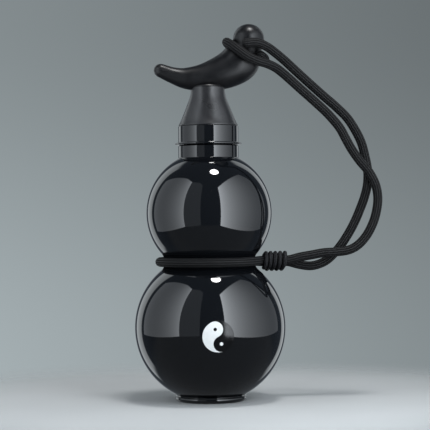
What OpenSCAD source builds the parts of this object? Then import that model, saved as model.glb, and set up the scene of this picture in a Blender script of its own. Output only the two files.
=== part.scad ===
// Double-bulb gourd water bottle: vacuum-walled steel flask, screw lid with a horn-shaped stem,
// braided carrying cord looped round the waist and hitched to the stem.
// Millimetres. The origin is the centre of the foot's resting face, +Z up, the emblem faces -Y
// and the stem lies in the XZ plane with its head towards +X.

/* [Gourd body] */
// Radius of the lower bulb
lower_r = 56.5; // [52:0.5:60]
// Depth that the foot takes off the bottom of the lower bulb's sphere
lower_sink = 1.75; // [1.25:0.25:2.5]
// Radius of the upper bulb
upper_r = 47.1; // [44:0.1:50]
// Height of the upper bulb's centre
upper_z = 140.25; // [136:0.25:144]
// Radius of the hollow that runs round the waist
waist_cove_r = 8; // [6.5:0.5:9]
// Thickness of the outer steel wall
outer_wall = 0.8; // [0.6:0.1:1.2]
// Thickness of the inner steel wall
inner_wall = 0.6; // [0.4:0.1:1]
// Vacuum space between the two walls
vacuum_gap = 3.7; // [2.5:0.1:5]
// Height of the inner flask's floor
floor_z = 10; // [9.5:0.5:14]
// Rounding between the inner flask's floor and its side
floor_corner_r = 6; // [4:0.5:8]

/* [Neck] */
// Radius of the collar under the lid
collar_r = 22.7; // [22.5:0.1:24]
// Height of the shoulder that the lid closes on
shoulder_z = 191; // [190:0.5:193]
// Rounding of the shoulder's edge
shoulder_round = 1; // [0.4:0.1:1.5]
// Outer radius of the threaded finish
finish_r = 18; // [17.5:0.1:18.3]
// Height of the threaded finish above the shoulder
finish_h = 12.5; // [12:0.5:13]
// Thickness of the rolled rim round the mouth
rim_h = 0.8; // [0.6:0.1:1]
// Radius of the mouth
mouth_r = 15.8; // [15.6:0.1:16]

/* [Foot] */
// Radius out to the rim of the foot ring
foot_r = 26.9; // [26.6:0.1:27.5]
// Radius of the foot ring's rolled section
foot_bead_r = 2.3; // [2.1:0.1:2.5]
// Depth of the flat worn into the bottom of the foot ring
foot_flat = 0.1; // [0.05:0.05:0.2]
// Thickness of the base plate
base_t = 0.8; // [0.6:0.1:1]
// Radius of the dimple in the base plate
dimple_r = 7; // [5:0.5:10]
// Depth of the dimple in the base plate
dimple_depth = 2.6; // [2:0.1:3.4]
// Radius of the bead that seals the evacuation hole
seal_r = 3.2; // [2:0.1:4.5]
// Radius of the evacuation hole
port_r = 1; // [0.6:0.1:1.5]
// Radius of the getter pill
getter_r = 4; // [2:0.5:6]
// Thickness of the getter pill
getter_h = 1.5; // [1:0.1:2]

/* [Emblem] */
// Radius of the emblem
emblem_r = 11.4; // [8:0.1:14]
// Height of the emblem's centre
emblem_z = 51.8; // [48:0.1:58]
// Turn of the emblem, leaning its upper dot to the left
emblem_turn = 23; // [0:1:45]
// Thickness of the emblem's enamel
emblem_t = 0.4; // [0.2:0.1:0.8]
// Radius of the two dots
emblem_dot_r = 1.35; // [0.8:0.05:2]

/* [Lid] */
// Radius of the lid's sleeve
sleeve_r = 22.65; // [22.4:0.05:23.5]
// Wall of the lid's sleeve
sleeve_wall = 0.8; // [0.6:0.1:1]
// Length of the lid's sleeve
sleeve_h = 14; // [13.5:0.5:15]
// Radius of the lip round the bottom of the sleeve
lip_r = 24.9; // [24.2:0.1:26]
// Thickness of the lip
lip_t = 1.6; // [1.2:0.1:2]
// Radius at the top of the cone
cone_top_r = 12.6; // [12:0.1:13.2]
// Height of the cone above the sleeve
cone_h = 31.2; // [30:0.2:32.4]
// Step from the sleeve in to the cone's side at its bottom edge
cone_step = 0.804; // [0.4:0.1:1.2]
// Lean of the cone's side where its sweep starts, from upright
cone_lean = 21.8; // [20:0.2:22.4]
// Radius of the sweep from the cone's side into its top
cone_sweep_r = 23.8; // [20:0.2:26]
// Rounding of the cone's top edge
cone_top_round = 2.5; // [1:0.1:3]
// Rounding of the cone's bottom edge
cone_base_round = 0.8; // [0.4:0.1:1.2]
// Bore of the threaded insert
insert_bore_r = 19.6; // [19.5:0.1:20]
// Thickness of the insert's ceiling
insert_ceiling = 2; // [1.5:0.1:2.5]
// Outer radius of the plug that hangs into the mouth
plug_r = 15; // [14.5:0.1:15.3]
// Wall of the plug
plug_wall = 1.4; // [1:0.1:2]
// Depth of the plug below the ceiling
plug_depth = 9; // [8:0.5:10]
// Thickness of the gasket
gasket_t = 1.2; // [0.8:0.1:1.5]
// Thickness of the cap that closes the plug
plug_cover_t = 1.2; // [0.8:0.1:1.5]
// Rounding of the plug cap's rim
plug_cover_round = 0.6; // [0.3:0.1:0.7]
// Height of the ring on the plug's cap that fits inside the plug
plug_spigot_h = 2.5; // [1.5:0.1:3]
// Wall of the ring on the plug's cap
plug_spigot_wall = 1.2; // [0.8:0.1:1.6]
// Thickness of the foam in the plug
foam_t = 5.6; // [3:0.2:6]
// Radius of the circle that the lid screws stand on
screw_circle_r = 8.6; // [6:0.2:9]
// Number of lid screws
screw_count = 3; // [2:1:5]
// Radius of a lid screw's shank
screw_r = 1.4; // [1:0.1:1.8]
// Radius of a lid screw's head
screw_head_r = 2.6; // [2.2:0.1:3]
// Length of a lid screw under its head
screw_len = 11; // [8:0.5:14]

/* [Cord] */
// Diameter of the braided cord
cord_d = 6.9; // [6.3:0.1:6.9]
// Diameter of the whipping cord
whip_d = 3.1; // [2.6:0.1:3.1]
// Number of turns in the whipping
whip_turns = 4.5; // [3.5:1:4.5]
// Step from one turn of the whipping to the next
whip_pitch = 3.65; // [3.65:0.05:3.75]
// Where the whipping starts, from the bottle's axis
whip_start = 40.4; // [40.4:0.1:41.4]
// Tightest bend where the waist loop turns into the whipping
loop_bend_r = 14; // [13.8:0.2:16]

/* [Fits] */
// Clearance between the lid and the bottle
lid_gap = 0.3; // [0.2:0.05:0.5]
// Clearance between the cord and what it lies on
cord_gap = 0.3; // [0.2:0.05:0.4]
// Clearance between fitted pieces of one assembly
fit = 0.1; // [0.05:0.05:0.2]

/* [Hidden] */
$fn = 144;
small_fn = 48;

// Larger than the object, for cuts that run past it
beyond = 3 * upper_z;

// Waist: the cove's circle touches both bulbs from outside
lower_z = lower_r - lower_sink;
bulb_gap = upper_z - lower_z;
cove_low = lower_r + waist_cove_r;
cove_high = upper_r + waist_cove_r;
cove_up = (cove_low * cove_low - cove_high * cove_high + bulb_gap * bulb_gap) / (2 * bulb_gap);
cove_x = sqrt(cove_low * cove_low - cove_up * cove_up);
cove_z = lower_z + cove_up;
waist_r = cove_x - waist_cove_r;

// Inner flask
flask_inset = outer_wall + vacuum_gap;
floor_corner_z = floor_z + floor_corner_r;
floor_corner_d = lower_r - flask_inset - floor_corner_r;
floor_corner_x = sqrt(pow(floor_corner_d, 2) - pow(lower_z - floor_corner_z, 2));
rim_z = shoulder_z + finish_h;

// Foot
foot_bead_x = foot_r - foot_bead_r;
foot_bead_z = foot_bead_r - foot_flat;
plate_seat_z = foot_bead_z + 1.2;
plate_top_z = plate_seat_z + base_t;
plate_r = sqrt(pow(lower_r, 2) - pow(lower_z - plate_top_z, 2));
dimple_top_z = plate_seat_z + dimple_depth;

// Lid
lid_z = shoulder_z + lid_gap;
sleeve_top_z = lid_z + sleeve_h;
gasket_z = rim_z + lid_gap;
ceiling_z = gasket_z + gasket_t;
ceiling_top_z = ceiling_z + insert_ceiling;
skirt_r = sleeve_r - sleeve_wall - fit;
pocket_r = insert_bore_r + 0.4;
plug_bottom_z = ceiling_z - plug_depth;
cone_top_z = sleeve_top_z + cone_h;
cone_turn_z = cone_top_z - 2.7;
cone_sweep_x = cone_top_r + cone_sweep_r;
cone_side = [cone_sweep_x - cone_sweep_r * cos(cone_lean), cone_turn_z - cone_sweep_r * sin(cone_lean)];
cone_edge_z = sleeve_top_z + cone_base_round;
cone_edge_x = sleeve_r - cone_step - cone_base_round / cos(cone_lean);

// Stem sections from the tip to the crown: [x, height above the sleeve, radius]
stem_base_z = sleeve_top_z;
neck_r = 11.5;
stem = [
  [-35.4, 41.9, 5.1], [-25.9, 38.2, 6.2], [-15.6, 36, 8.2], [-1.3, 37, 10.8],
  [15, 42.3, 13.6], [24.9, 49.1, 14.7], [29.4, 57.3, neck_r], [31.2, 65.1, 11.7]
];
stem_sides = 36;
stem_steps = 4;
cap_steps = 5;

// Turn of the cord round the stem's neck: the front strand crosses the front of the neck, goes
// round behind it and comes back under itself on the right
turn_route = [
  [61, -3, 241], [55.5, -6.5, 245], [49.5, -11, 248.5], [42, -16.5, 251], [35, -20.5, 252.5],
  [28, -21.5, 255.5], [22, -19.5, 260], [18, -14.5, 264], [15, -7.5, 267], [14.5, 0, 268.5],
  [17, 8, 267.5], [22, 13.5, 265.5], [29.5, 15.5, 262.5], [36.5, 13.5, 259], [41.5, 8, 256],
  [43.5, 0, 254.5], [41.5, -8.5, 256], [38.5, -12, 257.5]
];
turn_steps = 3;

// Upper end of the back strand, over the front of the head and down behind the turn
arch_route = [
  [67.5, -1, 246], [57, -6, 254.5], [48.5, -10.5, 260.5], [42.5, -13.5, 264], [35, -16.5, 266.5],
  [27, -17.5, 266]
];

// Front strand from the whipping up to the hitch
front_route = [
  [60, -3.6, 104.6], [68, -3.6, 106.5], [77, -3.7, 108], [86, -3.7, 109.5], [95, -3.7, 110],
  [104, -3.7, 111], [111, -3.7, 114], [117, -3.7, 119.5], [122, -3.7, 127], [126, -3.7, 137],
  [128, -3.7, 149], [126.5, -3.7, 160], [121.5, -3.7, 170], [114.5, -3.7, 178.5],
  [108.5, -3.7, 187], [104, -3.7, 195], [99, -3.7, 204], [90.5, -3.7, 214], [81, -3.5, 223],
  [71, -3, 232]
];

// Back strand from the whipping up to the arch
back_route = [
  [60, 3.6, 102.8], [69, 3.6, 100.5], [77.5, 3.7, 99.5], [85.5, 3.7, 101.5], [92, 3.7, 105.5],
  [100, 3.7, 114], [106.5, 3.7, 123.5], [111.5, 3.7, 132.5], [115.5, 3.7, 141.5],
  [119, 3.7, 150.5], [121.5, 3.7, 160], [122, 3.7, 170], [120.5, 3.7, 180],
  [116.5, 3.7, 194.5], [108, 3.7, 209.5], [99, 3.7, 219], [88.5, 3, 228], [78, 1.5, 237]
];

// Waist loop and the two strands side by side in the whipping
loop_r = waist_r + cord_gap + cord_d / 2;
whip_z = 103.7;
whip_from = 290;
loop_z = 104;
loop_end_x = front_route[0][0];
pair_y = 3.6;
pair_rise = 0.9;
loop_leave = asin((loop_bend_r + pair_y) / (loop_r + loop_bend_r));
bend_x = (loop_r + loop_bend_r) * cos(loop_leave);
wrap_r = cord_d / 2 + cord_gap + whip_d / 2;
ring_count = 24;
loop_steps = 16;
cord_sides = 10;
form_sides = 6;

// Helpers

function unit(v) = v / norm(v);

// Point between b and c on the smooth curve through a, b, c and d
function between(a, b, c, d, t) =
  0.5 * (2 * b + (c - a) * t + (2 * a - 5 * b + 4 * c - d) * t * t + (3 * b - a - 3 * c + d) * t * t * t);

// Smooth curve through the points p, with n steps from each point to the next
function smooth(p, n) = concat(
  [for (i = [0 : len(p) - 2], k = [0 : n - 1])
    between(
      i == 0 ? 2 * p[0] - p[1] : p[i - 1],
      p[i],
      p[i + 1],
      i == len(p) - 2 ? 2 * p[i + 1] - p[i] : p[i + 2],
      k / n
    )],
  [p[len(p) - 1]]
);

// Direction of the line of points p at its point i
function heading(p, i) = unit(p[min(i + 1, len(p) - 1)] - p[max(i - 1, 0)]);

// Length of the line of points p as far as each point
function run(p, i = 0, sum = 0) =
  i >= len(p) ? [] : concat([sum], run(p, i + 1, i < len(p) - 1 ? sum + norm(p[i + 1] - p[i]) : sum));

// Least distance between the tube's surface and itself, past the stretch that a bend joins
function least_gap(p, d, skip) = let (s = run(p)) min(
  [for (i = [0 : len(p) - 2]) min(concat(
    [1000],
    [for (j = [i + 1 : len(p) - 1]) if (s[j] - s[i] > skip) norm(p[j] - p[i]) - d]
  ))]
);

// Closed tube of triangles along the points p, with a ring at each point
module tube(p, d, sides, level) {
  n = len(p);
  points = concat(
    [for (i = [0 : n - 1])
      let (along = heading(p, i), side = unit(cross(along, level)), up = cross(side, along))
      for (k = [0 : sides - 1])
        p[i] + d / 2 * (cos(360 * k / sides) * side + sin(360 * k / sides) * up)],
    [p[0], p[n - 1]]
  );
  walls = [for (i = [0 : n - 2], k = [0 : sides - 1])
    let (a = i * sides + k, b = i * sides + (k + 1) % sides)
    for (f = [[a, b, a + sides], [b, b + sides, a + sides]]) f];
  starts = [for (k = [0 : sides - 1]) [n * sides, (k + 1) % sides, k]];
  ends = [for (k = [0 : sides - 1])
    [n * sides + 1, (n - 1) * sides + k, (n - 1) * sides + (k + 1) % sides]];
  polyhedron(points, concat(walls, starts, ends));
}

// Right half of a flat outline, as a revolve needs it
module right_half() {
  intersection() {
    children();
    square(beyond);
  }
}

// Outline of the two bulbs and the waist, moved inwards by inset
module gourd_outline(inset) {
  right_half() {
    translate([0, lower_z]) circle(lower_r - inset);
    translate([0, upper_z]) circle(upper_r - inset);
    difference() {
      polygon([[0, lower_z], [cove_x, cove_z], [0, upper_z]]);
      translate([cove_x, cove_z]) circle(waist_cove_r + inset);
    }
  }
}

// Outline of the outer wall with its collar and finish, moved inwards by inset
module shell_outline(inset) {
  gourd_outline(inset);
  translate([0, upper_z]) square([collar_r - inset, shoulder_z - shoulder_round - upper_z]);
  translate([0, upper_z]) square([collar_r - shoulder_round, shoulder_z - inset - upper_z]);
  translate([collar_r - shoulder_round, shoulder_z - shoulder_round])
    circle(shoulder_round - inset, $fn = small_fn);
  translate([0, upper_z]) square([finish_r - inset, rim_z - rim_h - upper_z]);
}

// Outline of the inner flask's wall with its floor and neck, moved inwards by inset
module flask_outline(inset) {
  corner_reach = (lower_r - flask_inset - inset) / floor_corner_d;
  difference() {
    gourd_outline(flask_inset + inset);
    square([beyond, lower_z - (lower_z - floor_corner_z) * corner_reach]);
  }
  translate([floor_corner_x, floor_corner_z]) circle(floor_corner_r - inset);
  translate([0, floor_z + inset]) square([floor_corner_x, floor_corner_r - inset]);
  translate([0, upper_z]) square([mouth_r + inner_wall - inset, rim_z - upper_z]);
}

// Bottle

module outer_shell() {
  color("#101012")
  rotate_extrude()
  difference() {
    shell_outline(0);
    shell_outline(outer_wall);
    square([beyond, plate_top_z]);
    translate([0, upper_z]) square([finish_r - outer_wall, beyond]);
  }
}

module inner_flask() {
  color("#b9bcbf")
  rotate_extrude()
  union() {
    difference() {
      flask_outline(0);
      flask_outline(inner_wall);
      translate([0, upper_z]) square([mouth_r, beyond]);
    }
    difference() {
      translate([mouth_r, rim_z - rim_h]) square([finish_r - rim_h / 2 - mouth_r, rim_h]);
      square([mouth_r, beyond]);
    }
    translate([finish_r - rim_h / 2, rim_z - rim_h / 2]) circle(rim_h / 2, $fn = small_fn);
  }
}

module base_plate() {
  color("#101012")
  difference() {
    rotate_extrude() {
      translate([dimple_r, plate_seat_z]) square([plate_r - fit - dimple_r, base_t]);
      translate([dimple_r, plate_seat_z]) square([base_t, dimple_depth + base_t]);
      translate([0, dimple_top_z]) square([dimple_r + base_t, base_t]);
    }
    translate([0, 0, dimple_top_z - 1]) cylinder(h = base_t + 2, r = port_r, $fn = small_fn);
  }
}

module foot_ring() {
  color("#101012")
  rotate_extrude()
  difference() {
    translate([foot_bead_x, foot_bead_z]) circle(foot_bead_r, $fn = small_fn * 2);
    translate([0, -beyond]) square(beyond);
    translate([0, plate_seat_z - fit / 2]) square([plate_r, lower_z]);
    translate([0, lower_z]) circle(lower_r + fit / 2);
  }
}

module vacuum_seal() {
  color("#8d8f90")
  rotate_extrude($fn = small_fn) {
    right_half() intersection() {
      translate([0, dimple_top_z]) circle(seal_r * 0.55);
      translate([0, dimple_top_z - beyond]) square(beyond);
    }
    translate([0, dimple_top_z - 0.5]) square([seal_r, 0.5]);
    translate([0, dimple_top_z - 0.5]) square([port_r - fit / 2, base_t + 0.5]);
  }
}

module getter() {
  color("#6f7173")
  translate([dimple_r + getter_r + 1, 0, floor_z - getter_h])
    cylinder(h = getter_h, r = getter_r, $fn = small_fn);
}

// One comma of the emblem: its half of the disc, plus its own head, less the other's head
module comma() {
  difference() {
    union() {
      intersection() {
        circle(emblem_r);
        translate([-2 * emblem_r, -2 * emblem_r]) square([2 * emblem_r, 4 * emblem_r]);
      }
      translate([0, emblem_r / 2]) circle(emblem_r / 2);
    }
    translate([0, -emblem_r / 2]) circle(emblem_r / 2);
  }
}

// Thin shell of enamel on the lower bulb, cut to the flat shape given to it
module enamel() {
  intersection() {
    translate([0, 0, lower_z]) difference() {
      sphere(lower_r + fit / 2 + emblem_t);
      sphere(lower_r + fit / 2);
    }
    translate([0, 0, emblem_z]) rotate([90, 0, 0]) rotate([0, 0, emblem_turn])
      translate([0, 0, lower_r / 2]) linear_extrude(lower_r) children();
  }
}

module emblem_light() {
  color("#f2f2ef")
  enamel() {
    difference() {
      comma();
      translate([0, emblem_r / 2]) circle(emblem_dot_r, $fn = small_fn);
    }
    translate([0, -emblem_r / 2]) circle(emblem_dot_r - fit / 2, $fn = small_fn);
  }
}

module emblem_dark() {
  color("#0b0b0d")
  enamel() {
    difference() {
      circle(emblem_r);
      comma();
      translate([0, emblem_r / 2]) circle(emblem_r / 2);
      translate([0, -emblem_r / 2]) circle(emblem_dot_r, $fn = small_fn);
    }
    translate([0, emblem_r / 2]) circle(emblem_dot_r - fit / 2, $fn = small_fn);
  }
}

// Lid

// Spine of the stem as [x, height, radius], with a round cap run out at each end
function stem_spine() = let (
  s = smooth(stem, stem_steps),
  n = len(s),
  tip = unit([s[0][0] - s[1][0], s[0][1] - s[1][1]]),
  crown = unit([s[n - 1][0] - s[n - 2][0], s[n - 1][1] - s[n - 2][1]])
) concat(
  [for (k = [cap_steps : -1 : 1]) let (a = 86 * k / cap_steps)
    [s[0][0] + tip[0] * s[0][2] * sin(a), s[0][1] + tip[1] * s[0][2] * sin(a), s[0][2] * cos(a)]],
  s,
  [for (k = [1 : cap_steps]) let (a = 86 * k / cap_steps)
    [s[n - 1][0] + crown[0] * s[n - 1][2] * sin(a),
     s[n - 1][1] + crown[1] * s[n - 1][2] * sin(a),
     s[n - 1][2] * cos(a)]]
);

// Round-sectioned stem swept along its spine
module stem_body() {
  s = stem_spine();
  n = len(s);
  line = [for (q = s) [q[0], 0, stem_base_z + q[1]]];
  points = concat(
    [for (i = [0 : n - 1])
      let (along = heading(line, i), side = unit(cross(along, [0, 1, 0])))
      for (k = [0 : stem_sides - 1])
        line[i] + s[i][2] * (cos(360 * k / stem_sides) * side + sin(360 * k / stem_sides) * [0, 1, 0])],
    [line[0], line[n - 1]]
  );
  walls = [for (i = [0 : n - 2], k = [0 : stem_sides - 1])
    let (a = i * stem_sides + k, b = i * stem_sides + (k + 1) % stem_sides)
    for (f = [[a, b, a + stem_sides], [b, b + stem_sides, a + stem_sides]]) f];
  starts = [for (k = [0 : stem_sides - 1]) [n * stem_sides, (k + 1) % stem_sides, k]];
  ends = [for (k = [0 : stem_sides - 1])
    [n * stem_sides + 1, (n - 1) * stem_sides + k, (n - 1) * stem_sides + (k + 1) % stem_sides]];
  polyhedron(points, concat(walls, starts, ends));
}

// Outline of the cone under the stem
module cone_outline() {
  difference() {
    polygon([
      [0, sleeve_top_z], [cone_edge_x, sleeve_top_z], [cone_edge_x, cone_edge_z],
      [cone_edge_x + cone_base_round * cos(cone_lean), cone_edge_z + cone_base_round * sin(cone_lean)],
      cone_side, [cone_sweep_x, cone_turn_z], [0, cone_turn_z]
    ]);
    translate([cone_sweep_x, cone_turn_z]) circle(cone_sweep_r);
  }
  translate([cone_edge_x, cone_edge_z]) circle(cone_base_round, $fn = small_fn);
  translate([0, cone_turn_z - 2])
    square([cone_top_r, cone_top_z - cone_top_round - cone_turn_z + 2]);
  translate([0, cone_turn_z - 2]) square([cone_top_r - cone_top_round, cone_top_z - cone_turn_z + 2]);
  translate([cone_top_r - cone_top_round, cone_top_z - cone_top_round])
    circle(cone_top_round, $fn = small_fn);
}

// Places its children where the lid screws stand
module at_screws() {
  for (k = [0 : screw_count - 1])
    rotate([0, 0, 360 * k / screw_count]) translate([screw_circle_r, 0, 0]) children();
}

module lid_handle() {
  color("#1c1c1e")
  difference() {
    union() {
      rotate_extrude() cone_outline();
      stem_body();
    }
    translate([0, 0, sleeve_top_z - 1]) cylinder(h = ceiling_top_z + fit - sleeve_top_z + 1, r = pocket_r);
    at_screws() translate([0, 0, ceiling_z])
      cylinder(h = screw_len + 0.5, r = screw_r + fit / 2, $fn = small_fn);
  }
}

module lid_sleeve() {
  color("#101012")
  rotate_extrude() {
    translate([sleeve_r - sleeve_wall, lid_z]) square([sleeve_wall, sleeve_h]);
    translate([sleeve_r - sleeve_wall, lid_z]) square([lip_r - lip_t / 2 - sleeve_r + sleeve_wall, lip_t]);
    translate([lip_r - lip_t / 2, lid_z + lip_t / 2]) circle(lip_t / 2, $fn = small_fn);
  }
}

module lid_insert() {
  color("#26272a")
  difference() {
    rotate_extrude() {
      translate([insert_bore_r, lid_z + 0.7])
        square([skirt_r - insert_bore_r, sleeve_top_z - lid_z - 0.7]);
      translate([0, ceiling_z]) square([insert_bore_r + 0.1, sleeve_top_z - ceiling_z]);
      translate([0, ceiling_z]) square([pocket_r - fit, insert_ceiling]);
      translate([plug_r - plug_wall, plug_bottom_z]) square([plug_wall, plug_depth + 0.5]);
    }
    at_screws() translate([0, 0, ceiling_z - 1])
      cylinder(h = insert_ceiling + 2, r = screw_r + 3 * fit, $fn = small_fn);
  }
}

module lid_gasket() {
  color("#d9d8d2")
  translate([0, 0, gasket_z]) rotate_extrude()
    translate([plug_r + fit, 0]) square([insert_bore_r - plug_r - 2 * fit, gasket_t]);
}

module plug_cover() {
  color("#26272a")
  rotate_extrude() {
    translate([0, plug_bottom_z - plug_cover_t]) square([plug_r - plug_cover_round, plug_cover_t]);
    translate([plug_r - plug_cover_round, plug_bottom_z - plug_cover_t / 2])
      circle(min(plug_cover_round, plug_cover_t / 2), $fn = small_fn);
    translate([plug_r - plug_wall - fit - plug_spigot_wall, plug_bottom_z - plug_cover_t / 2])
      square([plug_spigot_wall, plug_spigot_h + plug_cover_t / 2]);
  }
}

module foam_core() {
  color("#e9e6da")
  translate([0, 0, plug_bottom_z + fit])
    cylinder(h = foam_t, r = plug_r - plug_wall - 2 * fit - plug_spigot_wall);
}

module lid_screws() {
  color("#c4c6c8")
  at_screws() rotate_extrude($fn = small_fn) {
    translate([0, ceiling_z - 0.9]) square([screw_head_r, 0.9]);
    translate([0, ceiling_z - 1.6]) square([screw_head_r - 0.7, 1]);
    right_half() translate([screw_head_r - 0.7, ceiling_z - 0.9]) circle(0.7);
    translate([0, ceiling_z - 1]) square([screw_r, screw_len + 1]);
  }
}

// Cord

turn_points = smooth(turn_route, turn_steps);

module hitch_turn() {
  color("#17171a")
  tube(turn_points, cord_d, form_sides, [0, 0, 1]);
}

module hitch_arch() {
  color("#17171a")
  tube(smooth(arch_route, 2), cord_d, cord_sides, [0, 1, 0]);
}

// Half of the waist loop, from the whipping to the far side: side is -1 in front and 1 behind
function loop_half(side) = let (end_z = whip_z - side * pair_rise) concat(
  [for (x = [loop_end_x, (loop_end_x + bend_x) / 2]) [x, side * pair_y, end_z]],
  [for (k = [0 : 5]) let (a = (90 - loop_leave) * k / 5, t = k / 12)
    [bend_x - loop_bend_r * sin(a), side * (pair_y + loop_bend_r * (1 - cos(a))),
     end_z + (loop_z - end_z) * t]],
  [for (k = [1 : loop_steps])
    let (a = loop_leave + (180 - loop_leave) * k / loop_steps, t = min(1, 5 / 12 + 2.2 * k / loop_steps))
    [loop_r * cos(a), side * loop_r * sin(a), end_z + (loop_z - end_z) * t]]
);

loop_points = let (front = loop_half(-1), back = loop_half(1), n = len(front))
  concat(front, [for (k = [n - 2 : -1 : 0]) back[k]]);

module waist_loop() {
  color("#17171a")
  tube(loop_points, cord_d, form_sides, [0, 0, 1]);
}

// Half the spread of the two strands at x, which draw together inside the whipping
function spread(x) = x >= bend_x ? pair_y
  : pair_y + loop_bend_r - sqrt(pow(loop_bend_r, 2) - pow(bend_x - x, 2));

// How much further out the whipping runs at x, where the strands inside it still bend apart
function flare(x) = x >= bend_x ? 0
  : pair_y + loop_bend_r - sqrt(pow(loop_bend_r - wrap_r, 2) - pow(bend_x - x, 2)) - spread(x) - wrap_r;

// Point of the whipping at angle a, round the two strands that lie side by side
function whip_point(a) = let (
  x = whip_start + whip_pitch * (a - whip_from) / 360,
  outwards = (spread(x) * cos(a) + pair_rise * sin(a)) / norm([spread(x), pair_rise]),
  lean = max(-1, min(1, 4 * outwards))
) [x, -spread(x) * lean - (wrap_r + flare(x)) * cos(a), whip_z + pair_rise * lean + wrap_r * sin(a)];

whip_winding = [for (k = [0 : round(ring_count * whip_turns)])
  whip_point(whip_from + 360 * k / ring_count)];
whip_points = let (n = len(whip_winding)) concat(
  [whip_winding[0] - whip_d * unit(whip_winding[1] - whip_winding[0])],
  whip_winding,
  [whip_winding[n - 1] + whip_d * unit(whip_winding[n - 1] - whip_winding[n - 2])]
);

module whipping() {
  color("#1b1b1f")
  tube(whip_points, whip_d, form_sides, [1, 0, 0]);
}

// Points of a strand that starts square to the waist loop's end and stops cord_gap short of the
// hitch piece whose points are given, in line with its start
function strand_points(route, hitch) = let (
  n = len(route),
  pull = unit(hitch[1] - hitch[0]),
  stop = hitch[0] - cord_gap * pull
) concat(
  [route[0], route[0] + [2, 0, 0]],
  [for (i = [1 : n - 1]) route[i]],
  [stop - 2 * pull, stop]
);

module strand_front() {
  color("#17171a")
  tube(strand_points(front_route, turn_points), cord_d, cord_sides, [0, 1, 0]);
}

module strand_back() {
  color("#17171a")
  tube(strand_points(back_route, smooth(arch_route, 2)), cord_d, cord_sides, [0, 1, 0]);
}

echo(least_gap_whipping = least_gap(whip_points, whip_d, 4 * whip_d));
echo(least_gap_turn = least_gap(turn_points, cord_d, 3.5 * cord_d));
echo(least_gap_waist_loop = least_gap(loop_points, cord_d, 5 * cord_d));

outer_shell();
inner_flask();
base_plate();
foot_ring();
vacuum_seal();
getter();
emblem_light();
emblem_dark();
lid_handle();
lid_sleeve();
lid_insert();
lid_gasket();
plug_cover();
foam_core();
lid_screws();
hitch_turn();
hitch_arch();
waist_loop();
whipping();
strand_front();
strand_back();
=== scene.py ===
import math

import bpy
import numpy as np
from mathutils import Matrix, Vector


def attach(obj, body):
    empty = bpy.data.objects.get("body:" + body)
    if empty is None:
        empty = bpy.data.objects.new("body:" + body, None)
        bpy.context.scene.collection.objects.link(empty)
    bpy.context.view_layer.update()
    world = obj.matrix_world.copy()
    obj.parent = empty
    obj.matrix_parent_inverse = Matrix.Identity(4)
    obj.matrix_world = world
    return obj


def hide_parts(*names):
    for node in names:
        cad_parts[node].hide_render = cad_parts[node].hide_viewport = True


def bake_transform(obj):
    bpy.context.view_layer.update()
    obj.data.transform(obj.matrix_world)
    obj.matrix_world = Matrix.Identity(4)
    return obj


# Double-bulb gourd bottle with a horn-stemmed lid and a braided carrying cord.
# Metres, in the CAD frame: foot on z = 0, emblem towards -Y, stem in the XZ plane.

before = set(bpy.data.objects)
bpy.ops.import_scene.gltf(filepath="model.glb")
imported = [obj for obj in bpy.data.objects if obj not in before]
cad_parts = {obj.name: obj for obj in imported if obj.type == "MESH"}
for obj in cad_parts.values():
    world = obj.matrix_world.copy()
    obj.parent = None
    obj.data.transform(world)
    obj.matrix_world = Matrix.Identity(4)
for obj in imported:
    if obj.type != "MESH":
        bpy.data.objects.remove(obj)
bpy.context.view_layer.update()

MM = 0.001


# lines and arcs

def smooth(points, steps):
    """Points on the curve through all the given points: between two of them each coordinate is
    the cubic b + (c-a)t/2 + (2a-5b+4c-d)t^2/2 + (3b-a-3c+d)t^3/2 of its four neighbours a b c d."""
    p = np.asarray(points, float)
    p = np.vstack([2 * p[0] - p[1], p, 2 * p[-1] - p[-2]])
    t = (np.arange(steps) / steps)[None, :, None]
    a, b, c, d = (p[i:len(p) - 3 + i, None, :] for i in range(4))
    q = b + 0.5 * ((c - a) * t + (2 * a - 5 * b + 4 * c - d) * t ** 2 + (3 * b - a - 3 * c + d) * t ** 3)
    return np.vstack([q.reshape(-1, p.shape[1]), p[-2:-1]])


def unit(v):
    """The same direction with length 1."""
    return v / np.linalg.norm(v)


def along(line):
    """Length of the line as far as each of its points."""
    steps = np.linalg.norm(np.diff(line, axis=0), axis=1)
    return np.concatenate([[0.0], np.cumsum(steps)])


def even(line, step):
    """The same line with its points about one step apart, measured along it."""
    s = along(line)
    t = np.linspace(0.0, s[-1], max(2, int(round(s[-1] / step)) + 1))
    return np.stack([np.interp(t, s, line[:, k]) for k in range(line.shape[1])], axis=1)


def arc(x, z, r, start, stop, count):
    """Points on the circle of radius r about (x, z), from one angle to another in degrees."""
    a = np.radians(np.linspace(start, stop, count))
    return np.stack([x + r * np.cos(a), z + r * np.sin(a)], axis=1)


def round_about(count):
    """Angles of count even steps round a circle."""
    return np.linspace(0.0, 2 * math.pi, count, endpoint=False)


def filleted(corners, fine):
    """Closed outline through corners (r, z, rounding): at each corner the two straight sides
    stop at rounding * tan(turn / 2) from it, and an arc of that radius joins them."""
    c = np.asarray(corners, float)
    out = []
    for (p, q, n) in zip(np.roll(c, 1, axis=0), c, np.roll(c, -1, axis=0)):
        r = q[2]
        if r <= 0:
            out.append(q[None, :2])
            continue
        u, v = unit(p[:2] - q[:2]), unit(n[:2] - q[:2])
        half = 0.5 * math.acos(float(np.clip(u @ v, -1, 1)))
        back = r / math.tan(half)
        middle = q[:2] + unit(u + v) * r / math.sin(half)
        a, b = q[:2] + u * back - middle, q[:2] + v * back - middle
        t = np.linspace(0.0, 1.0, fine)[:, None]
        w = math.acos(float(np.clip(a @ b / r ** 2, -1, 1)))
        out.append(middle + (np.sin((1 - t) * w) * a + np.sin(t * w) * b) / math.sin(w))
    return np.vstack(out)


# surfaces

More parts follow.
